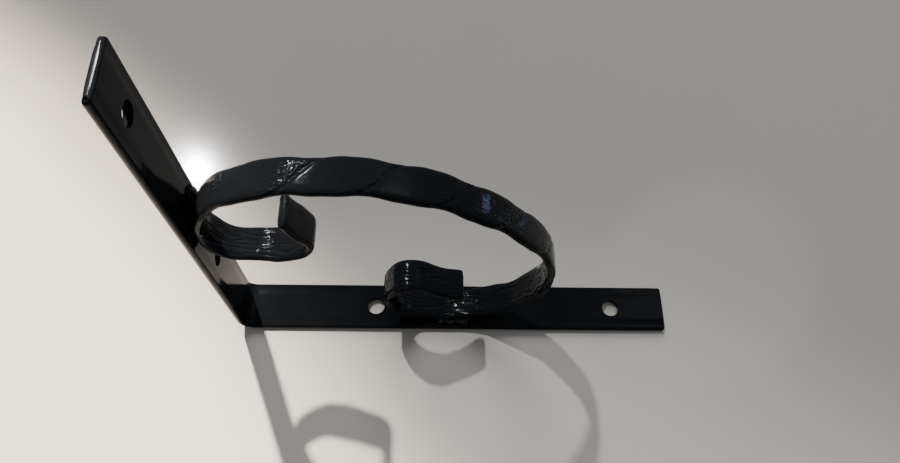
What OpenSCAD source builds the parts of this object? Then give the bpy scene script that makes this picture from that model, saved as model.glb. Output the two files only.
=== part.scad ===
// Shelf bracket: a flat bar bent to a right angle, with a C-shaped scroll of
// relief-rolled strip welded inside the corner. It stands on its shelf leg.

/* [Angle strap] */
// Width of the flat bar
strap_w = 19.6; // [14:0.1:30]
// Thickness of the flat bar with its paint
strap_t = 2.7; // [1.5:0.1:4]
// Length of the shelf leg, from the outside of the corner to its end
shelf_leg = 184.4; // [160:0.1:240]
// Length of the wall leg, from the outside of the corner to its end
wall_leg = 166; // [150:1:220]
// Inside radius of the bend
bend_r = 4; // [1:0.1:6]

/* [Screw holes] */
// Diameter of the four screw holes
hole_d = 7.2; // [4:0.1:9]
// From the outside of the corner to the shelf leg's inner hole
shelf_hole_inner = 57.9; // [45:0.1:62]
// From the shelf leg's free end to its outer hole
shelf_hole_end = 23.5; // [10:0.5:35]
// From the outside of the corner to the wall leg's inner hole
wall_hole_inner = 56; // [40:0.5:62]
// From the wall leg's free end to its outer hole
wall_hole_end = 18.5; // [10:0.5:35]

/* [Scroll strip] */
// Width of the strip over its widest places
strip_w = 12.9; // [8:0.1:16]
// Thickness of the strip over its ridges
strip_t = 3.1; // [1.8:0.1:4]
// Length of one rolled panel, from pinch to pinch
panel_len = 24.9; // [18:0.1:36]
// Distance of the first pinch from the strip's upper tip
first_pinch = 23.9; // [5:0.1:30]
// How far each edge is drawn in at a pinch
pinch_depth = 0.8; // [0.2:0.05:1.5]
// Distance from a pinch at which its edge is almost full again
pinch_reach = 12; // [3:0.1:14]

/* [Rolled relief] */
// Depth of the grooves on the inside of the curl
groove_depth = 0.35; // [0.1:0.05:0.5]
// Depth of the grooves on the outside of the curl
back_groove_depth = 0.15; // [0.05:0.05:0.4]
// Depth of the crease that crosses the outside at each pinch
crease_depth = 0.4; // [0.1:0.05:0.6]
// Distance from the crease at which it has almost faded
crease_reach = 4; // [2:0.1:6]
// How far along the strip a pinch and its crease run on their way from edge to edge
crease_slant = 9; // [0:0.5:18]

/* [Scroll bow] */
// Height at which the scroll is welded to the wall leg
wall_seat = 82.7; // [75:0.1:92]
// Distance from the corner at which the scroll is welded to the shelf leg
shelf_seat = 84; // [76:0.1:96]
// Radius of the shoulder that rises from the wall leg
shoulder_r = 32.6; // [26:0.1:38]
// Angle that the shoulder turns through
shoulder_angle = 71.5; // [62:0.5:80]
// Angle that the crown turns through
crown_angle = 51.5; // [42:0.5:58]
// Radius of the long flank
flank_r = 101.5; // [88:0.5:115]
// Angle that the flank turns through
flank_angle = 25.5; // [20:0.5:32]
// Angle that the knee turns through
knee_angle = 35; // [28:0.5:42]
// Radius of the foot that comes down on the shelf leg
foot_r = 42.2; // [36:0.1:48]

/* [Wall hook] */
// Radius of the turn off the wall leg
wall_hook_r = 16; // [13:0.5:19]
// Angle of the turn off the wall leg
wall_hook_angle = 87.5; // [76:0.5:96]
// Radius of the hook's flat belly
wall_belly_r = 29.3; // [22:0.1:38]
// Angle that the belly turns through
wall_belly_angle = 33.7; // [24:0.1:42]
// Radius of the hook's tight end
wall_curl_r = 6.5; // [5:0.1:9]
// Angle that the tight end turns through
wall_curl_angle = 79.5; // [65:0.5:95]
// Straight length of the tip
wall_tip = 17.8; // [10:0.1:19]

/* [Shelf hook] */
// Radius of the turn off the shelf leg
shelf_hook_r = 20.2; // [17:0.1:23]
// Angle of the turn off the shelf leg
shelf_hook_angle = 119.5; // [110:0.5:126]
// Radius of the hook's tight end
shelf_curl_r = 8.3; // [7:0.1:11]
// Angle that the tight end turns through
shelf_curl_angle = 91; // [80:0.5:100]
// Straight length of the tip
shelf_tip = 18.8; // [10:0.1:21]

/* [Weld beads] */
// Radius of one weld drop
drop_r = 2.2; // [1.6:0.1:2.6]
// Number of drops in a bead
drop_count = 5; // [3:1:6]
// Distance from drop to drop
drop_pitch = 2.4; // [1.6:0.1:3]
// Distance of a bead's first drop from the line where strip and leg touch
bead_offset = 2.5; // [2:0.1:4]

/* [Hidden] */
$fn = 64;
paint = "#16191c";

// Spacing of the rings that the strip is swept from, in length and in angle
ring_step = 2.3;
ring_angle = 9;
// Grooves across a face: a valley between each two ridges
groove_count = 5;
// Share of the half width that the grooved flat of a face takes up
flat_share = 0.9;
// Power of the strip's rounded section: higher is squarer
section_power = 8;
// Overrun of a cutting tool past the face that it opens
cut_over = 1;

// The part's origin is under the middle of the shelf leg
origin_x = shelf_leg / 2;

// The strip's centre line runs at this distance from each leg's outer face
seat_offset = strap_t + strip_t / 2;
edge_y = strip_w / 2;
// A bead lies on the strip's edge where that is half drawn in
bead_y = edge_y - pinch_depth / 2;

// ---- centre line of the strip ----
// A place on the line is [x, z, heading, distance from the upper tip]. A heading
// of 0 is straight up, and a clockwise turn adds to it. Every turn is clockwise.
// A segment is [radius, angle], and a straight one is [length, 0].

function seg_len(seg) = seg[1] == 0 ? seg[0] : seg[0] * seg[1] * PI / 180;

// Shift along x and z of an arc of unit radius that starts at heading h
function unit_arc(h, angle) = [cos(h) - cos(h + angle), sin(h + angle) - sin(h)];

// Shift over the fraction f of a segment that starts at heading h
function shift_of(h, seg, f) =
    seg[1] == 0 ? f * seg[0] * [sin(h), cos(h)] : seg[0] * unit_arc(h, f * seg[1]);

// The place at the fraction f of a segment that starts at p
function walk(p, seg, f) =
    let (d = shift_of(p[2], seg, f))
    [p[0] + d[0], p[1] + d[1], p[2] + f * seg[1], p[3] + f * seg_len(seg)];

// The start of a run of segments that ends at p
function lay_back(p, segs, i) =
    i < 0 ? p :
    let (h = p[2] - segs[i][1], d = shift_of(h, segs[i], 1))
    lay_back([p[0] - d[0], p[1] - d[1], h, p[3] - seg_len(segs[i])], segs, i - 1);

// The crown and the knee take the radii that close the bow between its seats
crown_h = shoulder_angle;
flank_h = crown_h + crown_angle;
knee_h = flank_h + flank_angle;
foot_h = knee_h + knee_angle;
foot_angle = 270 - foot_h;
crown_arc = unit_arc(crown_h, crown_angle);
knee_arc = unit_arc(knee_h, knee_angle);
bow_rest = [shelf_seat - seat_offset, seat_offset - wall_seat]
    - shoulder_r * unit_arc(0, shoulder_angle)
    - flank_r * unit_arc(flank_h, flank_angle)
    - foot_r * unit_arc(foot_h, foot_angle);
bow_det = cross(crown_arc, knee_arc);
crown_r = cross(bow_rest, knee_arc) / bow_det;
knee_r = cross(crown_arc, bow_rest) / bow_det;

wall_hook = [
    [wall_tip, 0],
    [wall_curl_r, wall_curl_angle],
    [wall_belly_r, wall_belly_angle],
    [wall_hook_r, wall_hook_angle]
];
bow = [
    [shoulder_r, shoulder_angle],
    [crown_r, crown_angle],
    [flank_r, flank_angle],
    [knee_r, knee_angle],
    [foot_r, foot_angle]
];
shelf_hook = [
    [shelf_hook_r, shelf_hook_angle],
    [shelf_curl_r, shelf_curl_angle],
    [shelf_tip, 0]
];
segs = concat(wall_hook, bow, shelf_hook);

// The line is laid from the wall seat: back to the upper tip, then on to the lower
wall_hook_len = [for (seg = wall_hook) seg_len(seg)] * [for (seg = wall_hook) 1];
upper_tip = lay_back([seat_offset, wall_seat, 0, wall_hook_len], wall_hook, len(wall_hook) - 1);
starts = [
    for (i = 0, p = upper_tip; i < len(segs); p = walk(p, segs[i], 1), i = i + 1) p
];
last_seg = len(segs) - 1;
stations = concat(
    [for (i = [0 : last_seg])
        let (n = ceil(max(seg_len(segs[i]) / ring_step, segs[i][1] / ring_angle)))
        for (k = [0 : n - 1]) walk(starts[i], segs[i], k / n)],
    [walk(starts[last_seg], segs[last_seg], 1)]
);

// ---- section of the strip ----
// A bell of height 1 that has almost faded at the distance reach
function bell(distance, reach) = exp(-pow(2 * distance / reach, 2));
// Distance from the place s along the strip to the nearest pinch
function from_pinch(s) =
    let (p = (s - first_pinch) / panel_len)
    abs(p - round(p)) * panel_len;
// A pinch slants over the strip, so its two edges are drawn in one after the other
function from_slant(u, s) = from_pinch(s - crease_slant * u / 2);
function half_width(u, s) = edge_y - pinch_depth * bell(from_slant(u, s), pinch_reach);
function half_thick(u) = strip_t / 2 * sqrt(1 - pow(abs(u), section_power));

// Columns across a face from edge to edge: ridges and valleys take turns on the flat
face_cols = 2 * groove_count + 2;
function column(j) =
    j == 0 ? -1 : j == face_cols ? 1 :
    flat_share * (2 * (j - 1) / (face_cols - 2) - 1);
// A groove is deepest in mid panel, each at its own place, and is filled at a pinch
function groove(j, s) =
    j % 2 == 1 || j == 0 || j == face_cols ? 0 :
    (0.7 + 0.3 * sin(360 * s / panel_len + 100 * j)) * (1 - bell(from_pinch(s), crease_reach) / 2);
function crease(u, s) = bell(from_slant(u, s), crease_reach);

function outside(j, s) =
    half_thick(column(j)) - back_groove_depth * groove(j, s)
    - crease_depth * crease(column(j), s) * sqrt(1 - pow(column(j), 2));
function inside(j, s) = -half_thick(column(j)) + groove_depth * groove(j, s);

function ring(st) = concat(
    [for (j = [0 : face_cols]) place(st, column(j), outside(j, st[3]))],
    [for (j = [face_cols - 1 : -1 : 1]) place(st, column(j), inside(j, st[3]))]
);
// A point of the section: u across the strip, v out of the curl
function place(st, u, v) = [st[0] - cos(st[2]) * v, half_width(u, st[3]) * u, st[1] + sin(st[2]) * v];

module sweep(rings) {
    n = len(rings[0]);
    last = (len(rings) - 1) * n;
    sides = [for (i = [0 : len(rings) - 2]) for (k = [0 : n - 1])
        let (a = i * n + k, b = i * n + (k + 1) % n)
        for (face = [[a, b, a + n], [b, b + n, a + n]]) face];
    polyhedron(
        points = [for (r = rings) for (p = r) p],
        faces = concat(
            sides,
            [[for (k = [n - 1 : -1 : 0]) k]],
            [[for (k = [0 : n - 1]) last + k]]
        ),
        convexity = 6
    );
}

// ---- the bar ----
module bar_outline() {
    outer_r = bend_r + strap_t;
    difference() {
        union() {
            translate([outer_r, 0]) square([shelf_leg - outer_r, strap_t]);
            translate([0, outer_r]) square([strap_t, wall_leg - outer_r]);
            intersection() {
                translate([outer_r, outer_r]) circle(r = outer_r);
                square(outer_r);
            }
        }
        translate([outer_r, outer_r]) circle(r = bend_r);
    }
}

module angle_strap() {
    color(paint)
    translate([-origin_x, 0, 0])
    difference() {
        translate([0, strap_w / 2, 0])
            rotate([90, 0, 0])
            linear_extrude(height = strap_w) bar_outline();
        for (x = [shelf_hole_inner, shelf_leg - shelf_hole_end])
            translate([x, 0, -cut_over])
            cylinder(d = hole_d, h = strap_t + 2 * cut_over);
        for (z = [wall_hole_inner, wall_leg - wall_hole_end])
            translate([-cut_over, 0, z])
            rotate([0, 90, 0])
            cylinder(d = hole_d, h = strap_t + 2 * cut_over);
    }
}

module scroll_strip() {
    color(paint)
    translate([-origin_x, 0, 0])
        sweep([for (st = stations) ring(st)]);
}

// ---- the welds ----
// A row of drops in the wedge between a leg and the strip that curves away from
// it. The leg's face is z = 0, they touch at x = 0, and the strip's edge is y = 0.
module weld_bead(arc_r) {
    strip_r = arc_r + strip_t / 2;
    reach = bead_offset + drop_count * drop_pitch + drop_r;
    difference() {
        for (i = [0 : drop_count - 1])
            translate([bead_offset + i * drop_pitch, 0, 0])
            sphere(r = drop_r);
        translate([-reach, -reach, -2 * drop_r])
            cube([3 * reach, 2 * reach, 2 * drop_r]);
        translate([0, strip_w, strip_r])
            rotate([90, 0, 0])
            cylinder(r = strip_r, h = strip_w, $fn = 180);
    }
}

module shelf_weld() {
    color(paint)
    translate([shelf_seat - origin_x, -bead_y, strap_t])
        weld_bead(foot_r);
}

module wall_weld() {
    color(paint)
    translate([strap_t - origin_x, bead_y, wall_seat])
        rotate([0, -90, 180])
        weld_bead(shoulder_r);
}

angle_strap();
scroll_strip();
shelf_weld();
wall_weld();
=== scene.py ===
# Shelf bracket in gloss black paint: a bent flat bar with a scroll of relief-rolled strip.
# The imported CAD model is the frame. Everything here is in metres, in that frame.
import math
import random
from functools import partial

import bmesh
import bpy
from mathutils import Euler, Matrix, Vector, noise


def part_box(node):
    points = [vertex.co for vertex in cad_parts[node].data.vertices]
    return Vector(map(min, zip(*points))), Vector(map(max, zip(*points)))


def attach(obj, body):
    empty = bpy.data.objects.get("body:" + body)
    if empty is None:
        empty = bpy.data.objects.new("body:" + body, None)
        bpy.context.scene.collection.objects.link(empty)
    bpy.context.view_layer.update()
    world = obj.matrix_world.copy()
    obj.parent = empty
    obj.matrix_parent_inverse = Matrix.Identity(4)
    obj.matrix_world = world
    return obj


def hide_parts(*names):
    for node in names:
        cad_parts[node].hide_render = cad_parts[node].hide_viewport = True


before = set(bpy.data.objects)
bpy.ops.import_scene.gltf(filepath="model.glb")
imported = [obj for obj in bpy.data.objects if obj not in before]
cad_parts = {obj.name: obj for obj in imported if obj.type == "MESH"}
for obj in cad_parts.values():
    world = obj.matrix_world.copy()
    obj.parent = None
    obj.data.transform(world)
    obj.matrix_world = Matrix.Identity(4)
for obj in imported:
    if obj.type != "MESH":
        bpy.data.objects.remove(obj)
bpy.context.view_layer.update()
print("frame loaded:", sorted(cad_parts))

mm = 0.001


def hexColour(code):
    # sRGB hex to the linear values that the shader sockets take
    parts = [int(code[i:i + 2], 16) / 255 for i in (1, 3, 5)]
    return [c / 12.92 if c <= 0.04045 else ((c + 0.055) / 1.055) ** 2.4 for c in parts] + [1]


def addNode(tree, kind, *values, sockets=None, **settings):
    # values fill the inputs in order, sockets fills them by name or place. A value that is
    # a socket is linked, and one that is a node is linked from its first output.
    node = tree.nodes.new(kind)
    for name, value in settings.items():
        setattr(node, name, value)
    filled = [(node.inputs[i], v) for i, v in enumerate(values) if v is not None]
    filled += [(node.inputs[name], v) for name, v in (sockets or {}).items()]
    for socket, value in filled:
        if isinstance(value, bpy.types.Node):
            value = value.outputs[0]
        if isinstance(value, bpy.types.NodeSocket):
            tree.links.new(value, socket)
        else:
            socket.default_value = value
    return node


def startMaterial(name):
    mat = bpy.data.materials.new(name)
    mat.use_nodes = True
    mat.node_tree.nodes.clear()
    return mat, mat.node_tree


cameraSpec = {
    "place": (-0.01557, -0.10445, 0.30355),
    "turn": (25.045, -2.462, -0.275),  # degrees about X, Y and Z
    "lens": 28.99,  # mm, as is the sensor
    "sensor": 36,
    "nearest": 0.01,
}


def makeCamera(spec):
    data = bpy.data.cameras.new("bracketView")
    data.lens = spec["lens"]
    data.sensor_width = spec["sensor"]
    data.sensor_fit = "HORIZONTAL"
    data.clip_start = spec["nearest"]
    obj = bpy.data.objects.new("bracketView", data)
    obj.location = spec["place"]
    obj.rotation_euler = Euler([math.radians(a) for a in spec["turn"]])
    bpy.context.scene.collection.objects.link(obj)
    bpy.context.scene.camera = obj


makeCamera(cameraSpec)

studio = {
    "floorColour": "#cfcac3",
    "floorSize": 6.0,
    "floorRoughness": 0.1,
    "floorSpecular": 0.35,
    "cloudScale": 9.0,  # faint patches in a metre, 11 cm each
    "cloudShade": 0.96,
    "waveScale": 260.0,  # ripples in a metre, 3.8 mm each
    "waveDepth": 0.006 * mm,
    "middle": (0, 0, 0.05),  # what a lamp aims at, unless it has its own aim
    "keyPlace": (-0.37, 0.70, 1.02),
    "keyAim": (-0.53, -0.5, 0.0),  # its pool of light lies in front, to the left
    "keyRadius": 0.022,
    "keyPower": 340.0,
    "keyCone": 52.0,
    "keyBlend": 0.3,
    "keyColour": "#fff0e0",
    "roomAim": (0.02, -0.5, 0.0),  # from the key lamp's place, a pool before the shelf leg
    "roomPower": 40.0,
    "roomCone": 35.0,
    "roomBlend": 0.45,
    "glarePlace": (-0.477, 0.645, 1.02),  # gives the glints and the lamp's image in the floor
    "glareRadius": 0.02,
    "glarePower": 34.0,
    "softPlace": (0.0, 5.0, 2.8),
    "softSize": 2.8,
    "softPower": 200.0,
    "rightPlace": (0.75, 0.6, 1.5),
    "rightSize": 0.55,
    "rightPower": 0.8,
    "windowPlace": (1.0, 0.52, 0.2),
    "windowSize": 0.09,
    "windowPower": 0.18,
    "windowColour": "#a9c2ff",
    "skyColour": "#dfe2e6",
    "skyStrength": 0.28,
}


def makeFloorMaterial(spec):
    # Laminate on a table top, pressed smooth: pale, with a faint sheen and slight ripples
    mat, tree = startMaterial("pale laminate")
    add = partial(addNode, tree)
    where = add("ShaderNodeTexCoord").outputs["Object"]
    cloud = add("ShaderNodeTexNoise", where, sockets={"Scale": spec["cloudScale"], "Detail": 3.0})
    pale = hexColour(spec["floorColour"])
    colour = add("ShaderNodeMix", cloud, data_type="RGBA", blend_type="MIX", sockets={
        6: pale, 7: [c * spec["cloudShade"] for c in pale]})
    wave = add("ShaderNodeTexNoise", where, sockets={"Scale": spec["waveScale"], "Detail": 1.0})
    bump = add("ShaderNodeBump", sockets={
        "Strength": 1.0, "Distance": spec["waveDepth"], "Height": wave})
    shader = add("ShaderNodeBsdfPrincipled", colour.outputs[2], sockets={
        "Roughness": spec["floorRoughness"], "Specular IOR Level": spec["floorSpecular"],
        "Normal": bump})
    add("ShaderNodeOutputMaterial", shader)
    return mat


def makeFloor(spec):
    half = spec["floorSize"] / 2
    corners = [(-half, -half, 0), (half, -half, 0), (half, half, 0), (-half, half, 0)]
    mesh = bpy.data.meshes.new("floor")
    mesh.from_pydata(corners, [], [(0, 1, 2, 3)])
    obj = bpy.data.objects.new("floor", mesh)
    mesh.materials.append(makeFloorMaterial(spec))
    bpy.context.scene.collection.objects.link(obj)


def makeLamp(name, kind, place, power, aim=studio["middle"], colour="#ffffff", **settings):
    data = bpy.data.lights.new(name, kind)
    data.energy = power
    data.color = hexColour(colour)[:3]
    for key, value in settings.items():
        setattr(data, key, value)
    obj = bpy.data.objects.new(name, data)
    obj.location = place
    obj.rotation_euler = (Vector(aim) - Vector(place)).to_track_quat("-Z", "Y").to_euler()
    bpy.context.scene.collection.objects.link(obj)
    return obj


def makeSky(spec):
    world = bpy.data.worlds.new("studio sky")
    bpy.context.scene.world = world
    world.use_nodes = True
    back = world.node_tree.nodes["Background"]
    back.inputs["Color"].default_value = hexColour(spec["skyColour"])
    back.inputs["Strength"].default_value = spec["skyStrength"]


def makeLamps(spec):
    keyLamp = makeLamp("key lamp", "SPOT", spec["keyPlace"], spec["keyPower"], spec["keyAim"],
                       spec["keyColour"], shadow_soft_size=spec["keyRadius"],
                       spot_size=math.radians(spec["keyCone"]), spot_blend=spec["keyBlend"])
    roomLamp = makeLamp("room lamp", "SPOT", spec["keyPlace"], spec["roomPower"],
                        spec["roomAim"], shadow_soft_size=spec["keyRadius"],
                        spot_size=math.radians(spec["roomCone"]), spot_blend=spec["roomBlend"])
    glareLamp = makeLamp("glare lamp", "POINT", spec["glarePlace"], spec["glarePower"],
                         shadow_soft_size=spec["glareRadius"])
    softLamp = makeLamp("soft lamp", "AREA", spec["softPlace"], spec["softPower"],
                        shape="DISK", size=spec["softSize"])
    makeLamp("right lamp", "AREA", spec["rightPlace"], spec["rightPower"],
             shape="DISK", size=spec["rightSize"])
    makeLamp("window", "AREA", spec["windowPlace"], spec["windowPower"],
             colour=spec["windowColour"], shape="DISK", size=spec["windowSize"])
    for lamp in (keyLamp, roomLamp, softLamp):
        lamp.visible_glossy = False
    glareLamp.visible_diffuse = False


makeFloor(studio)
makeLamps(studio)
makeSky(studio)
print("stage ready")

# Black spray enamel on mild steel: near black with a cool cast, a wet gloss, faint
# orange peel about 1.5 mm across, slow waves where the film ran, and a few dust nibs
paintSpec = {
    "colour": "#0d0f12",
    "colourThin": "#15181b",
    "ior": 1.5,
    "specular": 0.06,
    "roughness": 0.13,
    "glossDrift": (0.75, 1.3),  # the roughness drifts between these shares of it
    "peelSize": 1.5 * mm,
    "peelDepth": 0.012 * mm,
    "waveSize": 18 * mm,
    "waveDepth": 0.1 * mm,
    "nibSize": 0.35 * mm,
    "nibDepth": 0.06 * mm,
    "nibSpacing": 6 * mm,
}


def paintShader(tree, spec, where, normal, specular):
    # The film's tint and gloss drift over the metal with its thickness
    add = partial(addNode, tree)
    patch = add("ShaderNodeTexNoise", where, sockets={
        "Scale": 1 / spec["waveSize"], "Detail": 4.0})
    tint = add("ShaderNodeMix", patch, data_type="RGBA", sockets={
        6: hexColour(spec["colour"]), 7: hexColour(spec["colourThin"])})
    least, most = [spec["roughness"] * share for share in spec["glossDrift"]]
    rough = add("ShaderNodeMapRange", patch, 0.3, 0.7, least, most)
    shader = add("ShaderNodeBsdfPrincipled", tint.outputs[2], sockets={
        "Roughness": rough, "IOR": spec["ior"], "Specular IOR Level": specular,
        "Normal": normal})
    add("ShaderNodeOutputMaterial", shader)


def makeFlatPaint(spec, name):
    mat, tree = startMaterial(name)
    add = partial(addNode, tree)
    where = add("ShaderNodeTexCoord").outputs["Object"]
    wave = add("ShaderNodeTexNoise", where, sockets={"Scale": 1 / spec["waveSize"], "Detail": 1.0})
    waveBump = add("ShaderNodeBump", sockets={
        "Strength": 1.0, "Distance": spec["waveDepth"], "Height": wave})
    peel = add("ShaderNodeTexNoise", where, sockets={"Scale": 1 / spec["peelSize"], "Detail": 2.0})
    peelBump = add("ShaderNodeBump", sockets={
        "Strength": 1.0, "Distance": spec["peelDepth"], "Height": peel, "Normal": waveBump})
    cell = add("ShaderNodeTexVoronoi", where, sockets={"Scale": 1 / spec["nibSpacing"]})
    nib = add("ShaderNodeMapRange", cell, spec["nibSize"] / spec["nibSpacing"], 0.0, 0.0, 1.0,
              interpolation_type="SMOOTHSTEP")
    nibBump = add("ShaderNodeBump", sockets={
        "Strength": 1.0, "Distance": spec["nibDepth"], "Height": nib, "Normal": peelBump})
    paintShader(tree, spec, where, nibBump, spec["specular"])
    return mat


# The same enamel over the rolled strip. Its fibres and bark follow the strip, so the
# patterns read the strip's own straightened coordinates, kept as "flow" in metres.
reliefPaint = {
    **paintSpec,
    "specular": 0.1,
    "roughness": 0.125,
    "fibreWidth": 0.6 * mm,
    "fibreLength": 3 * mm,
    "fibreDepth": 0.03 * mm,
    "barkSize": 1.15 * mm,
    "barkStretch": 0.7,  # below 1, the bark is longer along the strip
    "barkDepth": 0.46 * mm,
    "dull": 0.02,  # specular on the strip's two edges, where the film is thin
    "dullWithin": 1.6 * mm,  # in flow's depth, which is 0 along the edges
    "glossBeyond": 3.0 * mm,
}


def makeReliefPaint(spec, name):
    mat, tree = startMaterial(name)
    add = partial(addNode, tree)
    flow = add("ShaderNodeAttribute", attribute_name="flow").outputs["Vector"]
    finest = 1 / spec["fibreWidth"]
    grained = add("ShaderNodeMapping", flow, sockets={
        "Scale": (1 / spec["fibreLength"], finest, finest)})
    fibre = add("ShaderNodeTexNoise", grained, sockets={"Scale": 1.0, "Detail": 3.0})
    fibreBump = add("ShaderNodeBump", sockets={
        "Strength": 1.0, "Distance": spec["fibreDepth"], "Height": fibre})
    where = add("ShaderNodeAttribute", attribute_name="bark").outputs["Fac"]
    size = spec["barkSize"]
    grained = add("ShaderNodeMapping", flow, sockets={
        "Scale": (spec["barkStretch"] / size, 1 / size, 1 / size)})
    bark = add("ShaderNodeTexNoise", grained, sockets={
        "Scale": 1.0, "Detail": 1.0, "Roughness": 0.6})
    barkBump = add("ShaderNodeBump", sockets={
        "Strength": where, "Distance": spec["barkDepth"], "Height": bark, "Normal": fibreBump})
    depth = add("ShaderNodeSeparateXYZ", flow).outputs[2]
    depth = add("ShaderNodeMath", depth, operation="ABSOLUTE")
    sheen = add("ShaderNodeMapRange", depth, spec["dullWithin"], spec["glossBeyond"],
                spec["dull"], spec["specular"])
    paintShader(tree, spec, flow, barkBump, sheen)
    return mat


# Over the weld metal the film is thicker and full of small dimples. Its colours are lighter than
# the bar's enamel: a painted sheen that stands in for the highlights on the lumps, which lie in the
# strip's shadow
weldPaintWithPaintedSheen = {
    **paintSpec,
    # lighter than the bar's colours: painted sheen on the weld lumps
    "colour": "#15181b",
    "colourThin": "#1c2023",
    "specular": 0.3,
    "roughness": 0.2,
    "peelSize": 0.8 * mm,
    "peelDepth": 0.03 * mm,
}

flatBarPaint = makeFlatPaint(paintSpec, "gloss black enamel on flat bar")
rolledStripPaint = makeReliefPaint(reliefPaint, "gloss black enamel on rolled strip")
weldMetalPaintWithPaintedSheen = makeFlatPaint(weldPaintWithPaintedSheen, "gloss black enamel on weld metal, with painted sheen")
print("paint ready")

barSpec = {
    "thick": 2.7 * mm,
    "bendRadius": 4.0 * mm,  # inside
    "cornerRadius": 1.4 * mm,  # corners of both free ends, ground off
    "edgeShare": 0.78,  # the long edges are rounded by this share of it
    "tipShare": 0.62,  # the edges across both ends by this share
    "rimShare": 0.1,  # and the rims of the holes by this share
    "steps": 4,
    # The rolled bar thins towards its long edges: distance from the edge and drop, in mm
    "fall": [(5.6, 0.0), (4.8, 0.02), (4.0, 0.08), (3.2, 0.165), (2.2, 0.2), (1.25, 0.21),
             (0.0, 0.22)],
    "wallHoles": (56.0 * mm, 147.5 * mm),
    "holeRadius": 3.6 * mm,
    "punchTaper": 0.35 * mm,  # the wall holes are punched, and narrower at the back
    "near": 0.01 * mm,  # a corner this close to a face lies on it
    "nearHole": 0.05 * mm,
    "mergeReach": 0.002 * mm,
    "flatAngle": 0.5,  # degrees: flatter seams are joined again
    "sharpAngle": 40,  # degrees: sharper edges are rounded
}


def fallAt(spec, fromEdge):
    points = spec["fall"]
    for (farther, lowDrop), (nearer, highDrop) in zip(points, points[1:]):
        if fromEdge > nearer * mm:
            share = min(1, max(0, (farther * mm - fromEdge) / ((farther - nearer) * mm)))
            return (lowDrop + share * (highDrop - lowDrop)) * mm
    return points[-1][1] * mm


def thinEdge(spec, co, corner, halfWidth):
    # Moves a point of the bar's skin towards the middle of its thickness
    drop = fallAt(spec, halfWidth - abs(co.y))
    outer = spec["bendRadius"] + spec["thick"]
    along, up = co.x - corner, co.z
    if along < outer and up < outer:
        spoke = Vector((along - outer, up - outer))
        inside = spoke.length < outer - spec["thick"] / 2
        spoke *= 1 + (drop if inside else -drop) / spoke.length
        co.x, co.z = corner + outer + spoke.x, outer + spoke.y
    elif up < outer:
        co.z += drop if up < spec["thick"] / 2 else -drop
    else:
        co.x += drop if along < spec["thick"] / 2 else -drop


def taperBore(spec, co, back):
    if co.x < back + spec["thick"] / 2:
        for hole in spec["wallHoles"]:
            off = Vector((co.z - hole, co.y))
            if abs(off.length - spec["holeRadius"]) < spec["nearHole"]:
                off *= 1 - spec["punchTaper"] / off.length
                co.z, co.y = hole + off.x, off.y


def makeBar(spec):
    # The CAD bar's own shape, merged, its flats joined again, and its edges rounded
    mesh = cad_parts["angle_strap"].data.copy()
    mesh.name = "barPainted"
    lowest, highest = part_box("angle_strap")
    near = spec["near"]
    work = bmesh.new()
    work.from_mesh(mesh)
    bmesh.ops.remove_doubles(work, verts=work.verts, dist=spec["mergeReach"])
    bmesh.ops.dissolve_limit(work, angle_limit=math.radians(spec["flatAngle"]),
                             verts=work.verts, edges=work.edges)
    for fromEdge, _ in spec["fall"][:-1]:
        for side in (1, -1):
            whole = work.verts[:] + work.edges[:] + work.faces[:]
            cutY = side * (highest[1] - fromEdge * mm)
            bmesh.ops.bisect_plane(work, geom=whole, dist=near, plane_co=(0, cutY, 0),
                                   plane_no=(0, 1, 0))
    weight = work.edges.layers.float.new("bevel_weight_edge")
    for edge in work.edges:
        if edge.calc_face_angle(0) < math.radians(spec["sharpAngle"]):
            continue
        ends = [vert.co for vert in edge.verts]
        atSide = all(abs(co.y) > highest[1] - near for co in ends)
        atTip = all(co.x > highest[0] - near or co.z > highest[2] - near for co in ends)
        if atSide:
            edge[weight] = 1.0 if atTip else spec["edgeShare"]
        else:
            edge[weight] = spec["tipShare"] if atTip else spec["rimShare"]
    for vert in work.verts:
        if abs(vert.co.y) < spec["holeRadius"] + near:
            taperBore(spec, vert.co, lowest[0])
        else:
            thinEdge(spec, vert.co, lowest[0], highest[1])
    work.to_mesh(mesh)
    work.free()
    obj = bpy.data.objects.new("barPainted", mesh)
    bpy.context.scene.collection.objects.link(obj)
    bevel = obj.modifiers.new("rounded edges", "BEVEL")
    bevel.width = spec["cornerRadius"]
    bevel.segments = spec["steps"]
    bevel.limit_method = "WEIGHT"
    bevel.use_clamp_overlap = False
    obj.modifiers.new("flat faces stay flat", "WEIGHTED_NORMAL")
    for face in mesh.polygons:
        face.use_smooth = True
    mesh.materials.clear()
    mesh.materials.append(flatBarPaint)
    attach(obj, "root")
    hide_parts("angle_strap")


makeBar(barSpec)
print("bar ready")

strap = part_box("angle_strap")

# Arcs as (radius in mm, angle in degrees) and straights as (length in mm, 0), from the
# upper tip to the lower one. Every turn is clockwise, seen from the front.
lineSpec = {
    "strapThick": 2.7,
    "stripThick": 3.1,
    "wallSeat": 82.7,
    "shelfSeat": 84.0,
    "wallHook": [(17.8, 0), (6.5, 79.5), (29.3, 33.7), (16, 87.5)],
    "shoulder": (32.6, 71.5),
    "crownAngle": 51.5,
    "flank": (101.5, 25.5),
    "kneeAngle": 35,
    "footRadius": 42.2,
    "shelfHook": [(20.2, 119.5), (8.3, 91), (18.8, 0)],
    "pointSpacing": 0.5,
}


def unitArc(heading, angle):
    # Shift of an arc of radius 1; a heading of 0 is straight up, and turns add to it
    start, end = math.radians(heading), math.radians(heading + angle)
    return math.cos(start) - math.cos(end), math.sin(end) - math.sin(start)


def step(place, segment, share=1.0):
    x, z, heading = place
    size, angle = segment
    if angle == 0:
        turn = math.radians(heading)
        return x + share * size * math.sin(turn), z + share * size * math.cos(turn), heading
    dx, dz = unitArc(heading, share * angle)
    return x + size * dx, z + size * dz, heading + share * angle


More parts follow.
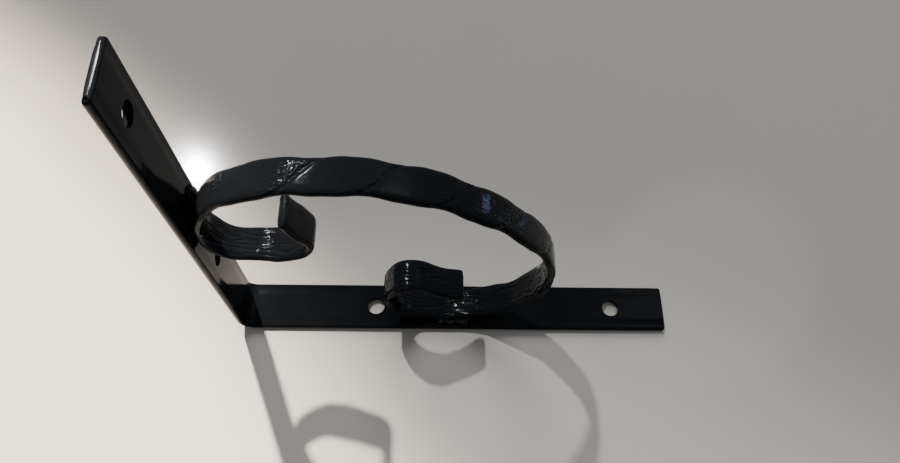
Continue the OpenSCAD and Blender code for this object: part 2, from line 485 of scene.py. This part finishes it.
def closeBow(spec, offset):
    # The crown and the knee take the radii that land the bow on the shelf leg
    shoulderR, shoulderA = spec["shoulder"]
    flankR, flankA = spec["flank"]
    flankH = shoulderA + spec["crownAngle"]
    kneeH = flankH + flankA
    footH = kneeH + spec["kneeAngle"]
    footA = 270 - footH
    fixed = [(shoulderR, unitArc(0, shoulderA)), (flankR, unitArc(flankH, flankA)),
             (spec["footRadius"], unitArc(footH, footA))]
    restX = spec["shelfSeat"] - offset - sum(r * arc[0] for r, arc in fixed)
    restZ = offset - spec["wallSeat"] - sum(r * arc[1] for r, arc in fixed)
    crown, knee = unitArc(shoulderA, spec["crownAngle"]), unitArc(kneeH, spec["kneeAngle"])
    det = crown[0] * knee[1] - crown[1] * knee[0]
    crownR = (restX * knee[1] - restZ * knee[0]) / det
    kneeR = (crown[0] * restZ - crown[1] * restX) / det
    return [spec["shoulder"], (crownR, spec["crownAngle"]), spec["flank"],
            (kneeR, spec["kneeAngle"]), (spec["footRadius"], footA)]


def scrollPoints(spec):
    offset = spec["strapThick"] + spec["stripThick"] / 2
    segments = spec["wallHook"] + closeBow(spec, offset) + spec["shelfHook"]
    x, z, heading = offset, spec["wallSeat"], 0.0
    for size, angle in reversed(spec["wallHook"]):
        heading -= angle
        dx, dz, _ = step((0, 0, heading), (size, angle))
        x, z = x - dx, z - dz
    place = (x, z, heading)
    points = []
    for segment in segments:
        length = segment[0] * (math.radians(segment[1]) if segment[1] else 1)
        count = math.ceil(length / spec["pointSpacing"])
        points += [step(place, segment, i / count)[:2] for i in range(count)]
        place = step(place, segment)
    points.append(place[:2])
    cornerX = strap[0][0]
    return [(cornerX + px * mm, 0.0, pz * mm) for px, pz in points]


def makeLine(points):
    data = bpy.data.curves.new("scrollLine", "CURVE")
    data.dimensions = "3D"
    spline = data.splines.new("POLY")
    spline.points.add(len(points) - 1)
    for point, place in zip(spline.points, points):
        point.co = (*place, 1)
    obj = bpy.data.objects.new("scrollLine", data)
    bpy.context.scene.collection.objects.link(obj)
    return obj


stripSpec = {
    "Width": 13.5 * mm,
    "Thickness": 3.3 * mm,
    "End Radius": 1.1 * mm,
    "Corner Radius": 1.6 * mm,
    "Panel Length": 24.9 * mm,
    "First Pinch": 23.9 * mm,
    "Pinch Depth": 0.85 * mm,
    "Pinch Reach": 10.0 * mm,
    "Pinch Slant": 9.0 * mm,  # along the strip, from its near edge to its far edge
    "Crown Depth": 0.12 * mm,
    "Crease Slant": 15.0 * mm,
    "Crease Wobble": 1.6 * mm,
    "Wobble Length": 9 * mm,
    "Wobble Width": 5 * mm,
    "Crease Depth": 0.3 * mm,
    "Crease Lead": 1.2 * mm,  # steep side, towards the upper tip
    "Crease Trail": 2.4 * mm,  # gentle side
    "Crease Start": 112 * mm,  # from the upper tip; faint before it
    "Crease Least": 0.15,  # share of its depth that is left there
    "Swell Height": 0.1 * mm,  # each panel swells before its crease
    "Swell Reach": 7.0 * mm,
    "Fibre Depth": 0.27 * mm,  # inside the curl
    "Back Fibre Depth": 0.03 * mm,
    "Tail Fibre Depth": 0.24 * mm,  # outside the lower hook
    "Tail Reach": 44 * mm,
    "Fibre Width": 1.5 * mm,
    "Fibre Length": 13 * mm,
    "Fibre Drift": 2.2,  # in widths of a fibre
    "Valley Width": 0.34,  # share of a fibre
    "Knot Width": 4 * mm,
    "Break Length": 6 * mm,  # a fibre comes and goes over this length
    "Break Width": 1.6 * mm,
    "Break Least": 0.15,
    "Lump Depth": 0.12 * mm,
    "Lump Size": 3.0 * mm,
    "Bark Depth": 0.24 * mm,
    "Bark Size": 1.5 * mm,
    "Bark Stretch": 1.8,
    "Bark Reach": 11.0 * mm,
    "Fine Bark Start": 60 * mm,  # the paint's fine bark is weak before this
    "Fine Bark Full": 100 * mm,
    "Fine Bark Least": 0.3,
}
stripRows = 780  # along the strip
stripSides = 120  # round its section
endRows = 6  # of those, to close each end
stripMerge = 0.004 * mm  # the grid's two long sides are joined


def makeStripTree(spec, material):
    tree = bpy.data.node_groups.new("rolled strip", "GeometryNodeTree")
    tree.interface.new_socket("Geometry", in_out="OUTPUT", socket_type="NodeSocketGeometry")
    tree.interface.new_socket("Line", in_out="INPUT", socket_type="NodeSocketGeometry")
    for name, value in spec.items():
        socket = tree.interface.new_socket(name, in_out="INPUT", socket_type="NodeSocketFloat")
        socket.default_value = value
    size = tree.nodes.new("NodeGroupInput").outputs
    add = partial(addNode, tree)
    maths, remap, vectors = "ShaderNodeMath", "ShaderNodeMapRange", "ShaderNodeVectorMath"
    times, plus, minus = [{"operation": name} for name in ("MULTIPLY", "ADD", "SUBTRACT")]
    timesPlus = {"operation": "MULTIPLY_ADD"}
    fade = {"interpolation_type": "SMOOTHSTEP"}

    # A flat grid: X runs along the strip in rows, Y runs once round its section
    grid = add("GeometryNodeMeshGrid", 1.0, 1.0, stripRows, stripSides + 1)
    axes = add("ShaderNodeSeparateXYZ", add("GeometryNodeInputPosition")).outputs
    row = add(maths, add(maths, axes[0], 0.5, **plus), stripRows - 1, **times)

    # Rows at both ends close the strip: the first one is the middle of the end face
    fromEnd = add(maths, row, (stripRows - 1) / 2, operation="PINGPONG")
    endTurn = add(remap, fromEnd, 1.0, float(endRows), 0.0, math.pi / 2)
    capShift = add(maths, add(maths, endTurn, operation="COSINE"), size["End Radius"], **times)
    endLoss = add(maths, 1.0, add(maths, endTurn, operation="SINE"), **minus)
    isOpen = add(maths, fromEnd, 0.5, operation="GREATER_THAN")

    # Distance along the line
    lineLength = add("GeometryNodeCurveLength", size["Line"])
    span = add(maths, lineLength, add(maths, size["End Radius"], 2.0, **times), **minus)
    middle = add(remap, row, float(endRows), stripRows - 1.0 - endRows)
    inner = add(maths, middle, span, size["End Radius"], **timesPlus)
    length = add(maths, add(maths, axes[0], operation="SIGN"), capShift, inner, **timesPlus)
    sample = add("GeometryNodeSampleCurve", mode="LENGTH", use_all_curves=False,
                 sockets={"Curves": size["Line"], "Length": length})

    # Section, a squarish oval whose points crowd to its two edges: u runs from edge to
    # edge, v from the inside of the curl to the outside
    crowd, squareness = 0.25, 8.0
    faceBlend = 0.3  # over this part of v, the relief changes from the inside's to the outside's
    fromMiddle = add(maths, axes[1], operation="ABSOLUTE")
    share = add(maths, 1.0, add(maths, fromMiddle, 4.0, **times), **minus)
    curved = add(maths, add(maths, share, operation="ABSOLUTE"), 5.0, operation="POWER")
    curved = add(maths, curved, add(maths, share, operation="SIGN"), **times)
    even = add(maths, share, 1 + crowd, **times)
    u = add(maths, even, add(maths, curved, crowd, **times), **minus)
    bulk = add(maths, add(maths, u, operation="ABSOLUTE"), squareness, operation="POWER")
    bulk = add(maths, 1.0, bulk, use_clamp=True, **minus)
    side = add(maths, axes[1], operation="SIGN")
    v = add(maths, add(maths, bulk, operation="SQRT"), side, **times)
    isOut = add(remap, v, -faceBlend, faceBlend)

    # A pinch slants over the strip, so its two edges are drawn in one after the other
    halfPanel = add(maths, size["Panel Length"], 0.5, **times)
    fromFirst = add(maths, length, size["First Pinch"], **minus)
    slant = add(maths, size["Pinch Slant"], -0.5, **times)
    fromPinch = add(maths, u, slant, fromFirst, **timesPlus)
    fromPinch = add(maths, fromPinch, halfPanel, operation="PINGPONG")
    pinch = add(remap, fromPinch, size["Pinch Reach"], 0.0, interpolation_type="SMOOTHERSTEP")
    corner = add(maths, endLoss, size["Corner Radius"], **times)
    drawn = add(maths, pinch, size["Pinch Depth"], corner, **timesPlus)
    halfWide = add(maths, add(maths, size["Width"], 0.5, **times), drawn, **minus)
    across = add(maths, u, halfWide, **times)

    # Where the relief reads its noise: the strip laid out straight, in metres
    skin = add(maths, v, size["Thickness"], **times)
    flow = add("ShaderNodeCombineXYZ", length, across, skin)

    def grain(along, sideways, shift):
        # Noise from about -0.5 to 0.5, in grains of this length and width
        x = add(maths, length, along, operation="DIVIDE")
        y = add(maths, across, sideways, operation="DIVIDE")
        place = add("ShaderNodeCombineXYZ", x, y, add(maths, v, shift, **plus))
        speck = add("ShaderNodeTexNoise", place, sockets={"Scale": 1.0, "Detail": 1.0})
        return add(maths, speck, 0.5, **minus)

    # The crease is a steep step that slants over the strip, ending one panel and starting the next
    bow = 0.3  # its slant is this much steeper at the edges
    wobble = add(maths, size["Crease Wobble"], 2.0, **times)
    wobble = add(maths, grain(size["Wobble Length"], size["Wobble Width"], 3.0), wobble, **times)
    cube = add(maths, add(maths, u, u, **times), u, **times)
    bend = add(maths, cube, bow, add(maths, u, 1 - bow, **times), **timesPlus)
    slant = add(maths, size["Crease Slant"], -0.5, **times)
    slanted = add(maths, add(maths, bend, slant, fromFirst, **timesPlus), wobble, **plus)
    past = add(maths, slanted, halfPanel, add(maths, halfPanel, -1.0, **times), operation="WRAP")
    lead = add(remap, past, add(maths, size["Crease Lead"], -1.0, **times), 0.0, **fade)
    trail = add(remap, past, size["Crease Trail"], 0.0, **fade)
    groove = add(maths, add(maths, lead, trail, **times), size["Crease Depth"], **times)

    # The panel swells towards its crease, and drops into it between these two places
    dropFrom, dropTo = -0.9 * mm, 0.6 * mm
    swellStart = add(maths, size["Swell Reach"], -1.0, **times)
    swellTop = add(maths, size["Crease Lead"], -0.6, **times)
    swell = add(remap, past, swellStart, swellTop, **fade)
    swell = add(maths, swell, add(remap, past, dropTo, dropFrom, **fade), **times)
    swell = add(maths, swell, size["Swell Height"], **times)

    # Both are faint before the first clear crease, and on the tail, which is the lower hook
    tailLoss = 0.85
    fromTail = add(maths, lineLength, length, **minus)
    tailTop = add(maths, size["Tail Reach"], 0.8, **times)
    tail = add(remap, fromTail, size["Tail Reach"], tailTop, **fade)
    faintEnd = add(maths, size["Crease Start"], 0.9, **times)
    faint = add(remap, length, faintEnd, size["Crease Start"], size["Crease Least"], 1.0, **fade)
    faint = add(maths, faint, add(maths, tail, -tailLoss, 1.0, **timesPlus), **times)
    crease = add(maths, add(maths, groove, swell, **minus), faint, **times)

    # Bark at the end of each panel, full just before the crease and gone just past it
    barkFull, barkGone = -1 * mm, 1 * mm
    barkStart = add(maths, size["Bark Reach"], -1.0, **times)
    nearCrease = add(remap, past, barkStart, barkFull, **fade)
    nearCrease = add(maths, nearCrease, add(remap, past, barkGone, 0.0, **fade), **times)
    barkLength = add(maths, size["Bark Size"], size["Bark Stretch"], **times)
    bark = add(maths, grain(barkLength, size["Bark Size"], 9.0), nearCrease, **times)
    bark = add(maths, bark, size["Bark Depth"], **times)

    # Fibres run with the strip and drift round knots; each one comes and goes
    knots = grain(size["Fibre Length"], size["Knot Width"], 0.0)
    drift = add(maths, knots, size["Fibre Drift"], **times)
    lines = add(maths, across, size["Fibre Width"], operation="DIVIDE")
    lines = add(maths, drift, 2.0, lines, **timesPlus)
    fromLine = add(maths, lines, 0.5, operation="PINGPONG")
    valley = add(remap, fromLine, size["Valley Width"], 0.0, **fade)
    comes = add(remap, grain(size["Break Length"], size["Break Width"], 5.0), -0.12, 0.12,
                size["Break Least"], 1.0, **fade)
    backDepth = add(remap, tail, 0.0, 1.0, size["Back Fibre Depth"], size["Tail Fibre Depth"])
    fibreDepth = add("ShaderNodeMix", isOut, data_type="FLOAT", sockets={
        2: size["Fibre Depth"], 3: backDepth})
    valley = add(maths, add(maths, valley, comes, **times), fibreDepth, **times)

    # Low lumps all over, and a crown from edge to edge on the outside
    lump = add(maths, grain(size["Lump Size"], size["Lump Size"], 7.0), size["Lump Depth"], **times)
    crown = add(maths, add(maths, u, u, **times), isOut, **times)
    crown = add(maths, crown, size["Crown Depth"], **times)

    # All of it is cut from the section's own thickness
    cut = add(maths, crease, isOut, valley, **timesPlus)
    cut = add(maths, cut, add(maths, lump, bark, **plus), **plus)
    cut = add(maths, cut, add(maths, endLoss, size["End Radius"], crown, **timesPlus), **plus)
    outward = add(maths, add(maths, size["Thickness"], 0.5, **times), cut, **minus)
    outward = add(maths, add(maths, v, outward, **times), isOpen, **times)

    # Out into space, square to the line
    normal = add(vectors, sample.outputs["Tangent"], (0, 1, 0), operation="CROSS_PRODUCT")
    lift = add(vectors, normal, operation="SCALE", sockets={"Scale": outward})
    wide = add("ShaderNodeCombineXYZ", None, add(maths, across, isOpen, **times))
    spot = add(vectors, sample.outputs["Position"], lift, operation="ADD")
    spot = add(vectors, spot, wide, operation="ADD")

    # The paint reads where each point lies, and how strong its fine bark is
    barkFrom = add(remap, length, size["Fine Bark Start"], size["Fine Bark Full"],
                   size["Fine Bark Least"], 1.0, **fade)
    fineBark = add(maths, nearCrease, barkFrom, **times)
    keep = add("GeometryNodeStoreNamedAttribute", data_type="FLOAT_VECTOR", domain="POINT",
               sockets={"Geometry": grid, "Name": "flow", "Value": flow})
    mark = add("GeometryNodeStoreNamedAttribute", data_type="FLOAT", domain="POINT",
               sockets={"Geometry": keep, "Name": "bark", "Value": fineBark})
    shape = add("GeometryNodeSetPosition", mark, sockets={"Position": spot})
    closed = add("GeometryNodeMergeByDistance", shape, sockets={"Distance": stripMerge})
    smooth = add("GeometryNodeSetShadeSmooth", closed)
    real = add("GeometryNodeRealizeInstances", smooth)
    paint = add("GeometryNodeSetMaterial", real, sockets={"Material": material})
    add("NodeGroupOutput", paint)
    return tree


def bakeModifier(obj, name):
    # The evaluated result as a plain mesh object; the working object goes
    graph = bpy.context.evaluated_depsgraph_get()
    mesh = bpy.data.meshes.new_from_object(obj.evaluated_get(graph))
    bpy.data.objects.remove(obj)
    work = bmesh.new()
    work.from_mesh(mesh)
    bmesh.ops.recalc_face_normals(work, faces=work.faces)
    work.to_mesh(mesh)
    work.free()
    mesh.name = name
    result = bpy.data.objects.new(name, mesh)
    bpy.context.scene.collection.objects.link(result)
    return result


def makeStrip(spec, line, material):
    tree = makeStripTree(spec, material)
    modifier = line.modifiers.new("rolled strip", "NODES")
    modifier.node_group = tree
    for socket in tree.interface.items_tree:
        if socket.in_out == "INPUT" and socket.name in spec:
            modifier[socket.identifier] = spec[socket.name]
    strip = bakeModifier(line, "scrollRolled")
    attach(strip, "root")
    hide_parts("scroll_strip")
    return strip


strip = makeStrip(stripSpec, makeLine(scrollPoints(lineSpec)), rolledStripPaint)
print("strip ready:", len(strip.data.polygons), "faces")

weldSpec = {
    "dropRadius": 2.1 * mm,
    "dropCount": 5,
    "dropPitch": 2.4 * mm,
    "firstDrop": 2.5 * mm,  # from the line where strip and leg touch
    "dropJitter": 0.12,  # share of the pitch
    "dropSquash": (0.85, 1.0),
    "dropSizes": (0.9, 1.05),
    "dropSteps": 3,
    "beadY": 6.05 * mm,  # from the middle of the bar's width
    "grainSize": 0.22 * mm,  # of the mesh over the melted drops
    "lumpSize": 1.3 * mm,
    "lumpDepth": 0.5 * mm,
    "spatterCount": 7,
    "spatterRadius": 0.55 * mm,
    "spatterSizes": (0.5, 1.0),
    "spatterSteps": 2,
    "spatterStart": -0.8,  # in pitches, from the first drop
    "spatterSpread": (0.2, 1.15),  # outwards, in radii of a drop
    "shelfSeed": 3,
    "wallSeed": 8,
}


def makeWeld(spec, nodeName, name, start, along, seed):
    # Overlapping drops of weld metal, melted together, with a few beads of spatter
    draw = random.Random(seed)
    jitter, radius = spec["dropJitter"], spec["dropRadius"]
    work = bmesh.new()
    for i in range(spec["dropCount"]):
        reach = spec["firstDrop"] + (i + draw.uniform(-jitter, jitter)) * spec["dropPitch"]
        squash = Matrix.Diagonal((1, draw.uniform(*spec["dropSquash"]),
                                  draw.uniform(*spec["dropSquash"]), 1))
        size = radius * draw.uniform(*spec["dropSizes"])
        bmesh.ops.create_icosphere(work, subdivisions=spec["dropSteps"], radius=size,
                                   matrix=Matrix.Translation(start + along * reach) @ squash)
    for i in range(spec["spatterCount"]):
        pitches = draw.uniform(spec["spatterStart"], spec["dropCount"])
        centre = start + along * (spec["firstDrop"] + pitches * spec["dropPitch"])
        centre.y += math.copysign(draw.uniform(*spec["spatterSpread"]) * radius, start.y)
        size = spec["spatterRadius"] * draw.uniform(*spec["spatterSizes"])
        bmesh.ops.create_icosphere(work, subdivisions=spec["spatterSteps"], radius=size,
                                   matrix=Matrix.Translation(centre))
    mesh = bpy.data.meshes.new(name)
    work.to_mesh(mesh)
    work.free()
    raw = bpy.data.objects.new(name, mesh)
    bpy.context.scene.collection.objects.link(raw)
    remesh = raw.modifiers.new("melted together", "REMESH")
    remesh.mode = "VOXEL"
    remesh.voxel_size = spec["grainSize"]
    weld = bakeModifier(raw, name)
    heights = [noise.noise(vert.co / spec["lumpSize"]) * spec["lumpDepth"]
               for vert in weld.data.vertices]
    for vert, height in zip(weld.data.vertices, heights):
        vert.co += vert.normal * height
    for face in weld.data.polygons:
        face.use_smooth = True
    weld.data.materials.clear()
    weld.data.materials.append(weldMetalPaintWithPaintedSheen)
    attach(weld, "root")
    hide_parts(nodeName)


outside, barThick, beadY = strap[0][0], barSpec["thick"], weldSpec["beadY"]
shelfStart = Vector((outside + lineSpec["shelfSeat"] * mm, -beadY, barThick))
wallStart = Vector((outside + barThick, beadY, lineSpec["wallSeat"] * mm))
makeWeld(weldSpec, "shelf_weld", "shelfWeldBead", shelfStart, Vector((1, 0, 0)),
         weldSpec["shelfSeed"])
makeWeld(weldSpec, "wall_weld", "wallWeldBead", wallStart, Vector((0, 0, 1)),
         weldSpec["wallSeed"])
print("welds ready")
